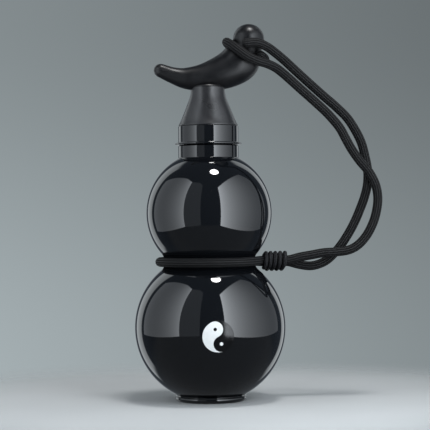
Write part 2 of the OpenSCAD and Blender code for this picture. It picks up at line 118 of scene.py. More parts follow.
def patch(grid, close_rows=False, close_columns=False, poles=(False, False)):
    """Vertices, faces and texture places of a grid of points. Rows run along the first index.
    A closed direction joins its last line to its first, and a pole row is one vertex. The
    texture place of a point is its distance along its column and along its row, in metres."""
    rows, columns = grid.shape[:2]
    index = np.arange(rows * columns).reshape(rows, columns)
    if poles[0]:
        index[0] = index[0, 0]
    if poles[1]:
        index[-1] = index[-1, 0]
    full = grid
    if close_columns:
        index = np.hstack([index, index[:, :1]])
        full = np.concatenate([full, full[:, :1]], axis=1)
    if close_rows:
        index = np.vstack([index, index[:1]])
        full = np.concatenate([full, full[:1]], axis=0)
    down = np.linalg.norm(np.diff(full, axis=0), axis=2).mean(axis=1)
    across = np.linalg.norm(np.diff(full, axis=1), axis=2)
    v = np.concatenate([[0.0], np.cumsum(down)])
    u = np.concatenate([[0.0], np.cumsum(across.max(axis=0))])
    if close_columns:
        u = np.linspace(0.0, across.sum(axis=1).max(), len(u))
    place = np.stack(np.meshgrid(v, u, indexing="ij"), axis=2)[:, :, ::-1]

    def quads(a):
        """The four corners of every cell of the grid."""
        corners = [a[:-1, :-1], a[:-1, 1:], a[1:, 1:], a[1:, :-1]]
        return np.stack(corners, axis=2).reshape(-1, 4, *a.shape[2:])
    return grid.reshape(-1, 3), quads(index), quads(place)


def make(name, patches, body, material, replaced=(), more=(), choose=None):
    """One finished piece: its patches in one mesh, smooth, riding on a body in place of the CAD
    nodes in replaced. choose gives each face's material from the middles of the faces, 0 for the
    main one and 1 and up for those in more."""
    starts = np.cumsum([0] + [len(x[0]) for x in patches])
    points, places = np.vstack([x[0] for x in patches]), np.vstack([x[2] for x in patches])
    faces = np.vstack([x[1] + start for (x, start) in zip(patches, starts)])
    used, back = np.unique(faces, return_inverse=True)
    points, faces = points[used], back.reshape(faces.shape)
    mesh = bpy.data.meshes.new(name)
    first, last = faces[:, 0] == faces[:, 1], faces[:, 2] == faces[:, 3]
    kinds = [(~(first | last), [0, 1, 2, 3]), (first, [0, 2, 3]), (last, [0, 1, 2])]
    loops = [faces[rows][:, corners] for (rows, corners) in kinds]
    spots = [places[rows][:, corners] for (rows, corners) in kinds]
    mesh.from_pydata(points.tolist(), [], sum((x.tolist() for x in loops), []))
    layer = mesh.uv_layers.new(name="surface")
    layer.data.foreach_set("uv", np.concatenate([x.reshape(-1) for x in spots]))
    mesh.polygons.foreach_set("use_smooth", np.ones(len(mesh.polygons), bool))
    mesh.materials.append(material)
    for extra in more:
        mesh.materials.append(extra)
    if choose is not None:
        middles = np.concatenate([points[x].mean(axis=1) for x in loops])
        mesh.polygons.foreach_set("material_index", choose(middles).astype(np.int32))
    mesh.update()
    mesh.validate()
    piece = bpy.data.objects.new(name, mesh)
    bpy.context.scene.collection.objects.link(piece)
    if body:
        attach(piece, body)
    if replaced:
        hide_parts(*replaced)
    return piece


def turned(outline, sides=192, swell=None):
    """Surface of revolution: an outline of (r, z) in millimetres turned about the Z axis, so
    that a point is (r cos a, r sin a, z). swell(r, z, a) may move r out or in. The outline runs
    so that the material lies on its left, and a row with r = 0 is a pole."""
    a = round_about(sides)
    r = np.repeat(outline[:, :1], sides, axis=1)
    z = np.repeat(outline[:, 1:2], sides, axis=1)
    if swell is not None:
        r = swell(r, z, a[None, :])
    grid = np.stack([r * np.cos(a), r * np.sin(a), z], axis=2) * MM
    poles = (outline[0, 0] == 0, outline[-1, 0] == 0)
    return patch(grid, close_rows=not any(poles), close_columns=True, poles=poles)


def carried(line, first_side):
    """Headings and two cross directions along a line. The first cross direction starts near
    first_side and turns as little as it can: each step removes its part along the new heading."""
    heading = np.gradient(line, axis=0)
    heading /= np.linalg.norm(heading, axis=1)[:, None]
    side = np.empty_like(line)
    s = np.asarray(first_side, float)
    for i, h in enumerate(heading):
        s = unit(s - h * (s @ h))
        side[i] = s
    return heading, side, np.cross(heading, side)


def tube(line, radius, sides, first_side, section=None):
    """Tube along a line: each ring is line + R(cos b side + sin b up), where R is the radius at
    that ring times section(b). Towards a narrowing end the section goes over into a plain
    circle, and both ends close on a pole."""
    _, side, up = carried(line, first_side)
    b = round_about(sides)
    shape = np.ones(sides) if section is None else section(b)
    r = np.broadcast_to(np.asarray(radius, float), (len(line),))[:, None]
    r = r * (1 + (shape[None, :] - 1) * (r / r.max()) ** 6)
    grid = (line[:, None, :] + (r * np.cos(b))[:, :, None] * side[:, None, :]
            + (r * np.sin(b))[:, :, None] * up[:, None, :])
    return patch(grid, close_columns=True, poles=(True, True))


def round_ends(line, radius, count, length):
    """A tube's line and radii with a round cap at each end: the last points are spread as
    sin a and the radii as cos a, length times the radius long."""
    a = np.linspace(0.0, math.pi / 2, count + 1)[1:]
    start, end = unit(line[0] - line[1]), unit(line[-1] - line[-2])
    r = np.broadcast_to(np.asarray(radius, float), (len(line),))
    head = line[0] + start * (r[0] * length * np.sin(a))[:, None]
    tail = line[-1] + end * (r[-1] * length * np.sin(a))[:, None]
    return (np.vstack([head[::-1], line, tail]),
            np.concatenate([(r[0] * np.cos(a))[::-1], r, r[-1] * np.cos(a)]))


# shared shader effects

def group(name, inputs, outputs):
    """Empty shader node group: its tree, its inputs as sockets to link from, and its outputs as
    sockets to link to. Place is a vector and all the others are numbers."""
    tree = bpy.data.node_groups.new(name, "ShaderNodeTree")
    for (side, labels) in (("INPUT", inputs), ("OUTPUT", outputs)):
        for label in labels:
            kind = "Vector" if label == "Place" else "Float"
            tree.interface.new_socket(name=label, in_out=side, socket_type="NodeSocket" + kind)
    return tree, tree.nodes.new("NodeGroupInput").outputs, tree.nodes.new("NodeGroupOutput").inputs


def feed(socket, value):
    """Link an input socket to an output socket, or set it to a plain value."""
    if isinstance(value, bpy.types.NodeSocket):
        socket.id_data.links.new(value, socket)
    else:
        socket.default_value = value


def node(tree, kind, links=None, **values):
    """Add a node. links maps its input sockets to output sockets or to plain values."""
    n = tree.nodes.new("ShaderNode" + kind)
    for key, value in values.items():
        setattr(n, key, value)
    for key, value in (links or {}).items():
        feed(n.inputs[key], value)
    return n


# the functions down to noise add a node to the tree that their sockets are in

def parts(vector):
    """The X, Y and Z of a vector as sockets."""
    return node(vector.id_data, "SeparateXYZ", {"Vector": vector}).outputs


def sums(operation, *values):
    """One Math node's result, from at least one socket and plain values."""
    tree = next(x.id_data for x in values if isinstance(x, bpy.types.NodeSocket))
    return node(tree, "Math", dict(enumerate(values)), operation=operation).outputs[0]


def times(a, b):
    """Product of two values."""
    return sums("MULTIPLY", a, b)


def ramp(value, low, high, to_low=0.0, to_high=1.0):
    """Value carried from one range to another with a soft start and end."""
    ranges = {"Value": value, "From Min": low, "From Max": high, "To Min": to_low, "To Max": to_high}
    return node(value.id_data, "MapRange", ranges, interpolation_type="SMOOTHSTEP").outputs["Result"]


def mixed(factor, a, b):
    """Two colours mixed by a factor."""
    return node(factor.id_data, "Mix", {0: factor, 6: a, 7: b}, data_type="RGBA").outputs[2]


def noise(place, scale, detail=2.0, rough=0.5):
    """Smooth noise from 0 to 1, with scale features a metre."""
    settings = {"Vector": place, "Scale": scale, "Detail": detail, "Roughness": rough}
    return node(place.id_data, "TexNoise", settings).outputs["Fac"]


def build_grain():
    """Moulded or sprayed surface: coarse and fine unevenness, and a slow change of tone."""
    tree, given, result = group("fine grain", ("Place", "Fine", "Coarse"), ("Height", "Tone"))
    place = given["Place"]
    fine = noise(place, given["Fine"], 3.0, 0.6)
    coarse = noise(place, given["Coarse"], 2.0)
    feed(result["Height"], sums("ADD", times(fine, 0.7), times(coarse, 0.3)))
    feed(result["Tone"], ramp(coarse, 0.3, 0.7))
    return tree


def build_dust():
    """Specks of dust that settle more on upward faces, and faint wiping marks."""
    tree, given, result = group("dust and marks", ("Place", "Amount"), ("Specks", "Marks"))
    place, amount = given["Place"], given["Amount"]
    cells = node(tree, "TexVoronoi", {"Vector": place, "Scale": 420.0})
    speck = ramp(cells.outputs["Distance"], 0.16, 0.05)
    rare = ramp(noise(place, 160.0, 1.0), 0.6, 0.72)
    up = node(tree, "NewGeometry").outputs["Normal"]
    lift = ramp(parts(up)["Z"], -0.3, 0.9, 0.15, 1.0)
    feed(result["Specks"], times(times(speck, rare), times(lift, amount)))
    stretched = node(tree, "Mapping", {"Vector": place, "Scale": (1.0, 1.0, 3.5)}).outputs[0]
    wipe = ramp(noise(stretched, 38.0, 5.0, 0.65), 0.45, 0.75)
    feed(result["Marks"], times(wipe, amount))
    return tree


def build_brushing():
    """Turned or brushed metal: very fine lines round the axis, from noise stretched along them."""
    tree, given, result = group("brushing", ("Place", "Fineness"), ("Lines", "Stain"))
    place, fineness = given["Place"], given["Fineness"]
    x, y, z = parts(place)
    radial = sums("SQRT", sums("ADD", times(x, x), times(y, y)))
    stretched = node(tree, "CombineXYZ", {"X": times(radial, fineness), "Y": times(z, fineness),
                                          "Z": times(x, 20.0)}).outputs[0]
    feed(result["Lines"], noise(stretched, 3.0, 4.0, 0.7))
    feed(result["Stain"], ramp(noise(place, 60.0, 3.0), 0.4, 0.7))
    return tree


def build_braid():
    """Braided cover from the texture place (U round, V along, metres): two families of slanted
    strands, |sin| of U +- V, and which of them lies on top changes like a chequerboard. Shade is
    painted shade, darker where the strands lie low, and Crest marks the crests of the ribs."""
    tree, given, result = group("braid", ("Around", "Length", "Strands", "Pitch", "Ribs"),
                                ("Height", "Shade", "Crest"))
    around = given["Around"]
    turn = times(around, given["Strands"])
    go = sums("DIVIDE", given["Length"], given["Pitch"])

    def wave(x):
        """One family's wave, sin(pi x)."""
        return sums("SINE", times(x, math.pi))
    right, left = wave(sums("ADD", turn, go)), wave(sums("SUBTRACT", turn, go))
    over = ramp(times(right, left), -0.35, 0.35)
    humps = {0: over, 2: sums("ABSOLUTE", left), 3: sums("ABSOLUTE", right)}
    height = node(tree, "Mix", humps, data_type="FLOAT").outputs[0]
    feed(result["Height"], height)
    # painted shade: the colour is darker where the weave lies low
    feed(result["Shade"], ramp(height, 0.1, 0.9))
    rib = sums("COSINE", times(times(around, given["Ribs"]), math.pi))
    feed(result["Crest"], ramp(sums("ABSOLUTE", rib), 0.55, 1.0))
    return tree


GRAIN, DUST, BRUSHING, BRAID = build_grain(), build_dust(), build_brushing(), build_braid()


# materials

def finish(name, **sockets):
    """New material: its Principled shader with plain values, its tree and Object coordinates."""
    m = bpy.data.materials.new(name)
    m.use_nodes = True
    tree = m.node_tree
    shader = tree.nodes["Principled BSDF"]
    for key, value in sockets.items():
        shader.inputs[key.replace("_", " ").title().replace("Ior", "IOR")].default_value = value
    place = node(tree, "TexCoord").outputs["Object"]
    return m, tree, shader, place


def use(tree, effect, **links):
    """Place a shared effect in a material, each input linked to a socket or set to a value, and
    return its output sockets."""
    return node(tree, "Group", links, node_tree=effect).outputs


def surface(shader, colour, rough, height, distance, strength):
    """Link a shader's colour and roughness, and tilt its normal by a height from 0 to 1 that
    stands for distance metres."""
    feed(shader.inputs["Base Color"], colour)
    feed(shader.inputs["Roughness"], rough)
    tilt = node(shader.id_data, "Bump", {"Height": height, "Distance": distance, "Strength": strength})
    feed(shader.inputs["Normal"], tilt.outputs["Normal"])


def gloss_paint():
    """Polished black lacquer on steel: faint orange peel, a few specks of dust and wiping marks."""
    m, tree, shader, place = finish("gloss_black_lacquer", ior=1.5, coat_weight=0.25, coat_roughness=0.02)
    dust = use(tree, DUST, Place=place, Amount=0.32)
    specks = dust["Specks"]
    grain = use(tree, GRAIN, Place=place, Fine=700.0, Coarse=120.0)
    colour = mixed(specks, (0.003, 0.0035, 0.0045, 1), (0.12, 0.115, 0.105, 1))
    rough = sums("ADD", times(dust["Marks"], 0.07), 0.035)
    rough = sums("ADD", rough, times(specks, 0.5))
    surface(shader, colour, rough, grain["Height"], 0.000012, 0.35)
    return m


def grainy(name, high, low, rough, fine, coarse, vary, depth, strength=0.5, dust=0.0, specks=(0, 0, 0),
           wear=0.0, **sockets):
    """Moulded, rubbery or printed surface: a fine grain, a slow change from the colour low to the
    colour high and of the roughness by +- vary, and dust as a share, coloured specks. Where hands
    have rubbed, the roughness is less by up to wear."""
    m, tree, shader, place = finish(name, **sockets)
    grain = use(tree, GRAIN, Place=place, Fine=fine, Coarse=coarse)
    tone = grain["Tone"]
    colour = mixed(tone, (*low, 1), (*high, 1))
    matt = ramp(tone, 0.0, 1.0, rough - vary, rough + vary)
    if dust:
        dirt = use(tree, DUST, Place=place, Amount=dust)
        colour = mixed(dirt["Specks"], colour, (*specks, 1))
        matt = sums("SUBTRACT", matt, times(dirt["Marks"], wear))
    surface(shader, colour, matt, grain["Height"], depth, strength)
    return m


def steel(name, light, dark, rough):
    """Brushed or turned steel with fine lines round the axis and faint stains."""
    m, tree, shader, place = finish(name, metallic=1.0)
    lines = use(tree, BRUSHING, Place=place, Fineness=700.0)
    tone = mixed(lines["Stain"], (*light, 1), (*dark, 1))
    matt = ramp(lines["Lines"], 0.2, 0.8, rough - 0.06, rough + 0.08)
    surface(shader, tone, matt, lines["Lines"], 0.00001, 0.4)
    return m


def cord_cover(name, around, strands, pitch, ribs, light, dark):
    """Braided polyester cover: ribs along it and strands in relief on them. Its colour carries painted shade,
    darker in the grooves between the ribs and on the lower strands, and a painted highlight on the rib
    crests: light is the crest colour and dark the groove colour.
    """
    m, tree, shader, place = finish(name, specular_ior_level=0.2)
    spot = parts(node(tree, "UVMap", uv_map="surface").outputs["UV"])
    braid = use(tree, BRAID, Around=sums("DIVIDE", spot["X"], around), Length=spot["Y"],
                Strands=strands, Pitch=pitch, Ribs=ribs)
    crest = braid["Crest"]
    fuzz = use(tree, GRAIN, Place=place, Fine=5200.0, Coarse=240.0)["Height"]
    uneven = ramp(fuzz, 0.3, 0.7, 0.6, 1.0)
    # painted shade in the grooves and painted highlight on the crests: the crest mask carries the colour from
    # dark towards light
    painted_groove_shade = ramp(crest, 0.0, 1.0, 0.12, 1.0)
    shade = times(times(braid["Shade"], uneven), painted_groove_shade)
    colour = mixed(shade, (*dark, 1), (*light, 1))
    height = sums("ADD", braid["Height"], times(fuzz, 0.35))
    surface(shader, colour, ramp(crest, 0.0, 1.0, 0.9, 0.6), height, 0.00018, 0.6)
    return m


SOFT = dict(coarse=75.0, vary=0.04, depth=0.00009, dust=0.35, specks=(0.16, 0.155, 0.15), wear=0.12, ior=1.46)
MOULDED = dict(coarse=110.0, vary=0.05)
ENAMEL = dict(fine=900.0, coarse=300.0, vary=0.03, depth=0.00001, strength=0.4, dust=0.2,
              specks=(0.3, 0.29, 0.27))
LACQUER = gloss_paint()
SOFT_GREY = grainy("soft_black_cone", (0.0125, 0.0125, 0.014), (0.009, 0.009, 0.0102), 0.32, 1500.0,
                   specular_ior_level=0.72, **SOFT)
# painted shade: the stem's copy of the moulding's plastic is darker than the cone's, though both are one
# moulding
STEM_PLASTIC_PAINTED_SHADE = grainy("soft_black_stem_painted_shade", (0.0040, 0.0040, 0.0048), (0.0028, 0.0028, 0.0035), 0.36, 2400.0,
                    specular_ior_level=0.47, **SOFT)
LINER = grainy("lid_liner_plastic", (0.05, 0.05, 0.055), (0.038, 0.038, 0.042), 0.38, 1800.0,
               depth=0.00005, **MOULDED)
SILICONE = grainy("silicone_seal", (0.74, 0.72, 0.68), (0.66, 0.65, 0.61), 0.5, 1200.0,
                  depth=0.00005, **MOULDED)
FOAM = grainy("foam_filling", (0.8, 0.78, 0.7), (0.6, 0.58, 0.5), 0.85, 700.0, depth=0.0003, **MOULDED)
STEEL = steel("brushed_steel_wall", (0.62, 0.62, 0.61), (0.52, 0.52, 0.5), 0.26)
DULL_STEEL = steel("dull_seal_metal", (0.36, 0.36, 0.35), (0.27, 0.26, 0.25), 0.45)
WHITE_ENAMEL = grainy("white_enamel", (0.70, 0.715, 0.715), (0.74, 0.755, 0.755), 0.22,
                      specular_ior_level=0.5, **ENAMEL)
BLACK_ENAMEL = grainy("black_enamel", (0.004, 0.004, 0.0045), (0.003, 0.003, 0.0035), 0.14,
                      specular_ior_level=0.38, **ENAMEL)


# sizes in millimetres

LOWER_R, LOWER_Z = 56.5, 54.75
UPPER_R, UPPER_Z = 47.1, 140.25
COVE_X, COVE_Z, COVE_R = 41.56, 104.07, 8.0
WALL, FLASK_WALL, FLASK_INSET = 0.8, 0.6, 4.5
BASE_Z, DIMPLE_Z = 3.4, 6.0
COLLAR_R, SHOULDER_Z, FINISH_R, MOUTH_R, RIM_Z = 22.7, 191.0, 18.0, 15.8, 203.5
SLEEVE_R, SLEEVE_BORE, LIP_R, LID_Z, SLEEVE_TOP = 22.65, 21.85, 24.9, 191.3, 205.3
SKIRT_BORE, PLUG_R, PLUG_BORE, PLUG_FOOT, DECK_Z = 19.6, 15.0, 13.6, 196.0, 205.0
THREAD_PITCH = 5.0
CORD_D, WHIP_D, CORD_GAP = 6.9, 3.1, 0.3


def angle_at(middle_z, x, z):
    """Angle in degrees of the point (x, z) as seen from the height middle_z on the axis."""
    return math.degrees(math.atan2(z - middle_z, x))


def top_at(inset, r):
    """Height at which the top of the upper bulb, made smaller by inset, has the radius r."""
    return UPPER_Z + math.sqrt((UPPER_R - inset) ** 2 - r ** 2)


def gourd(inset, bottom_z, top_z, steps=1.0):
    """Outline of the two bulbs and the waist from bottom_z up to top_z: an arc of the lower
    sphere, the cove's arc seen from outside, and an arc of the upper sphere."""
    low_r, high_r = LOWER_R - inset, UPPER_R - inset
    start = -math.degrees(math.acos(math.sqrt(low_r ** 2 - (LOWER_Z - bottom_z) ** 2) / low_r))
    meet_low, meet_high = angle_at(LOWER_Z, COVE_X, COVE_Z), angle_at(UPPER_Z, COVE_X, COVE_Z)
    stop = math.degrees(math.asin((top_z - UPPER_Z) / high_r))
    n = int(90 * steps)
    return np.vstack([
        arc(0, LOWER_Z, low_r, start, meet_low, n),
        arc(COVE_X, COVE_Z, COVE_R + inset, 180 + meet_low, 180 + meet_high, n // 3)[1:],
        arc(0, UPPER_Z, high_r, meet_high, stop, n)[1:],
    ])


# cord, first of the pieces: its points are listed one by one, X Y Z in millimetres

TURN = [(61, -3, 241), (55.5, -6.5, 245), (49.5, -11, 248.5), (42, -16.5, 251), (35, -20.5, 252.5),
        (28, -21.5, 255.5), (22, -19.5, 260), (18, -14.5, 264), (15, -7.5, 267), (14.5, 0, 268.5),
        (17, 8, 267.5), (22, 13.5, 265.5), (29.5, 15.5, 262.5), (36.5, 13.5, 259), (41.5, 8, 256),
        (43.5, 0, 254.5), (41.5, -8.5, 256), (38.5, -12, 257.5)]
ARCH = [(67.5, -1, 246), (57, -6, 254.5), (48.5, -10.5, 260.5), (42.5, -13.5, 264), (35, -16.5, 266.5),
        (27, -17.5, 266)]
FRONT = [(60, -3.6, 104.6), (68, -3.6, 106.5), (77, -3.7, 108), (86, -3.7, 109.5), (95, -3.7, 110),
         (104, -3.7, 111), (111, -3.7, 114), (117, -3.7, 119.5), (122, -3.7, 127), (126, -3.7, 137),
         (128, -3.7, 149), (126.5, -3.7, 160), (121.5, -3.7, 170), (114.5, -3.7, 178.5),
         (108.5, -3.7, 187), (104, -3.7, 195), (99, -3.7, 204), (90.5, -3.7, 214), (81, -3.5, 223),
         (71, -3, 232)]
BACK = [(60, 3.6, 102.8), (69, 3.6, 100.5), (77.5, 3.7, 99.5), (85.5, 3.7, 101.5), (92, 3.7, 105.5),
        (100, 3.7, 114), (106.5, 3.7, 123.5), (111.5, 3.7, 132.5), (115.5, 3.7, 141.5),
        (119, 3.7, 150.5), (121.5, 3.7, 160), (122, 3.7, 170), (120.5, 3.7, 180),
        (116.5, 3.7, 194.5), (108, 3.7, 209.5), (99, 3.7, 219), (88.5, 3, 228), (78, 1.5, 237)]
LOOP_R, BEND_R, PAIR_Y, LOOP_Z = 37.31, 14.0, 3.6, 104.0
WHIP_Z, PAIR_RISE, RISE_IN_BEND = 103.7, 0.9, 5 / 12
WHIP_X, WHIP_PITCH, WHIP_TURNS, WHIP_START = 40.4, 3.65, 4.5, 290
CORD_SIDES, WHIP_SIDES = 96, 40
LEAVE = math.degrees(math.asin((BEND_R + PAIR_Y) / (LOOP_R + BEND_R)))
BEND_X = (LOOP_R + BEND_R) * math.cos(math.radians(LEAVE))


def loop_half(side):
    """Half of the waist loop from x = 60 to its far side: straight, then an arc that turns
    away from the pair, then the circle round the waist. side is -1 in front and 1 behind."""
    end_z = WHIP_Z - side * PAIR_RISE
    k = np.arange(0, 9) / 8
    a = np.radians((90 - LEAVE) * k)
    bend = np.stack([BEND_X - BEND_R * np.sin(a), side * (PAIR_Y + BEND_R * (1 - np.cos(a))),
                     end_z + (LOOP_Z - end_z) * RISE_IN_BEND * k], axis=1)
    k = np.arange(1, 31) / 30
    a = np.radians(LEAVE + (180 - LEAVE) * k)
    ring = np.stack([LOOP_R * np.cos(a), side * LOOP_R * np.sin(a),
                     end_z + (LOOP_Z - end_z) * np.minimum(1, RISE_IN_BEND + 2.2 * k)], axis=1)
    straight = np.array([[60, side * PAIR_Y, end_z], [54, side * PAIR_Y, end_z]])
    return np.vstack([straight, bend, ring])


def cord_route():
    """Centre line of the whole cord in metres: down the back strand from the arch, round the
    waist and up the front strand to the turn's end."""
    back, front = loop_half(1), loop_half(-1)
    points = np.vstack([ARCH[::-1], BACK[:0:-1], back, front[-2::-1], FRONT[1:], TURN])
    return even(smooth(points, 8) * MM, 0.0012)


def ribbed(count, depth):
    """Section of a cord with lengthwise ribs: 1 - depth (1 - |cos(count b / 2)|^0.8)."""
    def section(b):
        """Radius at the angle b as a share of the full one."""
        return 1 - depth * (1 - np.abs(np.cos(count * b / 2)) ** 0.8)
    return section


def girth(diameter, section, sides):
    """Length of the section's own outline, in metres."""
    b = round_about(sides)
    ring = (diameter / 2 * MM * section(b))[:, None] * np.stack([np.cos(b), np.sin(b)], axis=1)
    return float(np.linalg.norm(ring - np.roll(ring, 1, axis=0), axis=1).sum())


CORD_RIBS, WHIP_RIBS = ribbed(12, 0.085), ribbed(8, 0.07)
# light is the painted highlight colour of the rib crests, dark the painted shade colour of the grooves
CORD = cord_cover("black_braided_cord", girth(CORD_D, CORD_RIBS, CORD_SIDES), strands=24.0, pitch=0.0017,
                  ribs=12.0, light=(0.0255, 0.0255, 0.0265), dark=(0.0012, 0.0012, 0.0014))
BINDING = cord_cover("black_binding_cord", girth(WHIP_D, WHIP_RIBS, WHIP_SIDES), strands=16.0, pitch=0.0012,
                     ribs=8.0, light=(0.036, 0.037, 0.041), dark=(0.003, 0.003, 0.0035))

route = cord_route()
line, radii = round_ends(route, CORD_D / 2 * MM, 8, 0.8)
cord = make("carrying_cord", [tube(line, radii, CORD_SIDES, (0, 0, 1), CORD_RIBS)], None, CORD,
            ("waist_loop", "strand_front", "strand_back", "hitch_turn", "hitch_arch"))


def spread(x):
    """Half the spread of the two strands at x, which draw together inside the whipping."""
    inside = np.clip(BEND_R ** 2 - (BEND_X - x) ** 2, 0, None)
    return np.where(x >= BEND_X, PAIR_Y, PAIR_Y + BEND_R - np.sqrt(inside))


def whipping_line():
    """The binding cord wound round the pair: at angle a its centre stands off the nearer strand
    by their two radii and a gap in the direction (-cos a, sin a), and moves one pitch along for
    each turn. Where the strands bend apart it keeps the same distance from the bend."""
    degrees = np.linspace(WHIP_START, WHIP_START + 360 * WHIP_TURNS, 540)
    a = np.radians(degrees)
    x = WHIP_X + WHIP_PITCH * (degrees - WHIP_START) / 360
    off = CORD_D / 2 + CORD_GAP + WHIP_D / 2
    s = spread(x)
    bend = np.sqrt(np.clip((BEND_R - off) ** 2 - (BEND_X - x) ** 2, 0, None))
    flare = np.where(x >= BEND_X, 0, PAIR_Y + BEND_R - bend - s - off)
    lean = np.clip(4 * (s * np.cos(a) + PAIR_RISE * np.sin(a)) / np.hypot(s, PAIR_RISE), -1, 1)
    points = np.stack([x, -s * lean - (off + flare) * np.cos(a),
                       WHIP_Z + PAIR_RISE * lean + off * np.sin(a)], axis=1)
    first, last = unit(points[0] - points[1]), unit(points[-1] - points[-2])
    points = np.vstack([points[0] + WHIP_D * first, points, points[-1] + WHIP_D * last])
    return even(points * MM, 0.0006)


line, radii = round_ends(whipping_line(), WHIP_D / 2 * MM, 5, 0.6)
binding = make("binding_turns", [tube(line, radii, WHIP_SIDES, (1, 0, 0), WHIP_RIBS)], "strap", BINDING,
               ("whipping",))

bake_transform(cord)


# bottle

def thread(depth, start_z, stop_z, phase, sign):
    """Right-hand thread on a wall: r moves by sign * depth * ridge, where ridge is a flat-topped
    wave of (z / pitch - a / 2 pi + phase), and it fades out at both ends."""
    def swell(r, z, a):
        """The radius at height z and angle a, with its share of the ridge."""
        turn = z / THREAD_PITCH - a / (2 * math.pi) + phase
        wave = np.clip(1.9 * np.cos(2 * math.pi * turn) - 0.55, 0, 1)
        wave = wave * wave * (3 - 2 * wave)
        fade = np.clip((z - start_z) / 1.2, 0, 1) * np.clip((stop_z - z) / 1.2, 0, 1)
        return r + sign * depth * wave * fade
    return swell


def shell_outline():
    """Outer wall: up the outside over both bulbs, collar, shoulder and finish, and back down
    the inside one wall further in."""
    foot_z, neck_z, finish_top = BASE_Z + WALL, 181.0, RIM_Z - WALL
    outside = gourd(0, foot_z, neck_z)
    collar = filleted([(*outside[-1], 0), (COLLAR_R, top_at(0, COLLAR_R), 0.7), (COLLAR_R, SHOULDER_Z, 1.0),
                       (FINISH_R, SHOULDER_Z, 0.5), (FINISH_R, finish_top, 0)], 9)[1:-1]
    finish_wall = np.linspace([FINISH_R, SHOULDER_Z + 1], [FINISH_R, finish_top - 0.3], 90)
    inside = gourd(WALL, foot_z, neck_z, 0.3)
    inner_collar = top_at(WALL, COLLAR_R - WALL)
    return np.vstack([
        outside[:-1], collar, finish_wall,
        [[FINISH_R, finish_top], [FINISH_R - WALL, finish_top], [FINISH_R - WALL, SHOULDER_Z - WALL],
         [COLLAR_R - WALL, SHOULDER_Z - WALL], [COLLAR_R - WALL, inner_collar]],
        inside[inside[:, 1] < inner_collar - 0.1][::-1],
    ])


def bare_above_shoulder(middles):
    """The finish above the shoulder stays bare steel."""
    high = middles[:, 2] > (SHOULDER_Z + 0.8) * MM
    return high & (np.hypot(middles[:, 0], middles[:, 1]) < (FINISH_R + 1.7) * MM)


outer_thread = thread(depth=1.15, start_z=193.4, stop_z=201.6, phase=0.0, sign=1)
make("bottle_shell", [turned(shell_outline(), 240, outer_thread)], "bottle", LACQUER,
     ("outer_shell",), (STEEL,), bare_above_shoulder)


def flask_outline():
    """Inner flask: floor, rounded corner, two bulbs, neck and the rolled rim over the finish."""
    floor_z, corner_r, corner_z, bulb_z = 10.0, 24.79, 16.0, 30.0

    def side(inset):
        """From the middle of the floor up to the neck, inset further in for the bore."""
        low = LOWER_R - FLASK_INSET - inset
        meet = angle_at(LOWER_Z, corner_r, corner_z)
        stop = -math.degrees(math.asin((LOWER_Z - bulb_z) / low))
        neck_r = MOUTH_R + FLASK_WALL - inset
        neck_z = top_at(FLASK_INSET + inset, neck_r)
        bulbs = gourd(FLASK_INSET + inset, bulb_z, 175.0, 0.6)
        return np.vstack([
            [[0, floor_z + inset], [corner_r, floor_z + inset]],
            arc(corner_r, corner_z, corner_z - floor_z - inset, -90, meet, 9)[1:],
            arc(0, LOWER_Z, low, meet, stop, 14)[1:-1],
            bulbs[bulbs[:, 1] < neck_z - 0.2],
            [[neck_r, neck_z]],
        ])
    neck_r, seat_z, turn_out, edge = MOUTH_R + FLASK_WALL, RIM_Z - WALL, 0.5, 0.4
    rim = np.vstack([
        [[neck_r, seat_z - turn_out]],
        arc(neck_r + turn_out, seat_z - turn_out, turn_out, 180, 90, 5)[1:],
        [[FINISH_R - edge, seat_z]],
        arc(FINISH_R - edge, RIM_Z - edge, edge, -90, 90, 9)[1:],
        arc(MOUTH_R + WALL, seat_z, WALL, 90, 180, 7),
    ])
    return np.vstack([side(0), rim, side(FLASK_WALL)[::-1]])


def base_outline():
    """Base plate with its dimple pushed up in the middle and the evacuation hole through it."""
    rim_r, dimple_r, hole_r, bend = 25.1, 7.0, 1.0, 0.4
    return filleted([(dimple_r, BASE_Z, bend), (rim_r, BASE_Z, 0.1), (rim_r, BASE_Z + WALL, 0.1),
                     (dimple_r + WALL, BASE_Z + WALL, bend), (dimple_r + WALL, DIMPLE_Z + WALL, 0.35),
                     (hole_r, DIMPLE_Z + WALL, 0), (hole_r, DIMPLE_Z, 0), (dimple_r, DIMPLE_Z, 0.35)], 6)


def foot_outline():
    """Rolled ring: a circle flattened where it stands and cut off flat under the base plate."""
    ring_r, middle_z, tube_r, seat_z = 24.6, 2.2, 2.3, BASE_Z - 0.04
    outline = np.vstack([
        arc(ring_r, middle_z, tube_r, -107, -73, 3),
        arc(ring_r, middle_z, tube_r, -68, 29, 22),
        [[ring_r + 0.7, seat_z], [ring_r - 1.0, seat_z], [ring_r - 1.4, BASE_Z - 0.3]],
        arc(ring_r, middle_z, tube_r, 158, 248, 20),
    ])
    outline[:, 1] = np.maximum(outline[:, 1], 0.0)
    return outline


def seal_outline():
    """Brazed bead under the evacuation hole, with its thin skirt and the metal inside the hole."""
    bead_r, skirt_r, skirt_z, inside_r = 1.76, 3.2, DIMPLE_Z - 0.35, 0.95
    return np.vstack([
        [[0, DIMPLE_Z - bead_r]],
        arc(0, DIMPLE_Z, bead_r, -88, -18, 9),
        [[skirt_r - 0.3, skirt_z - 0.15], [skirt_r, skirt_z], [skirt_r, DIMPLE_Z], [inside_r, DIMPLE_Z],
         [inside_r, DIMPLE_Z + WALL], [0, DIMPLE_Z + WALL]],
    ])


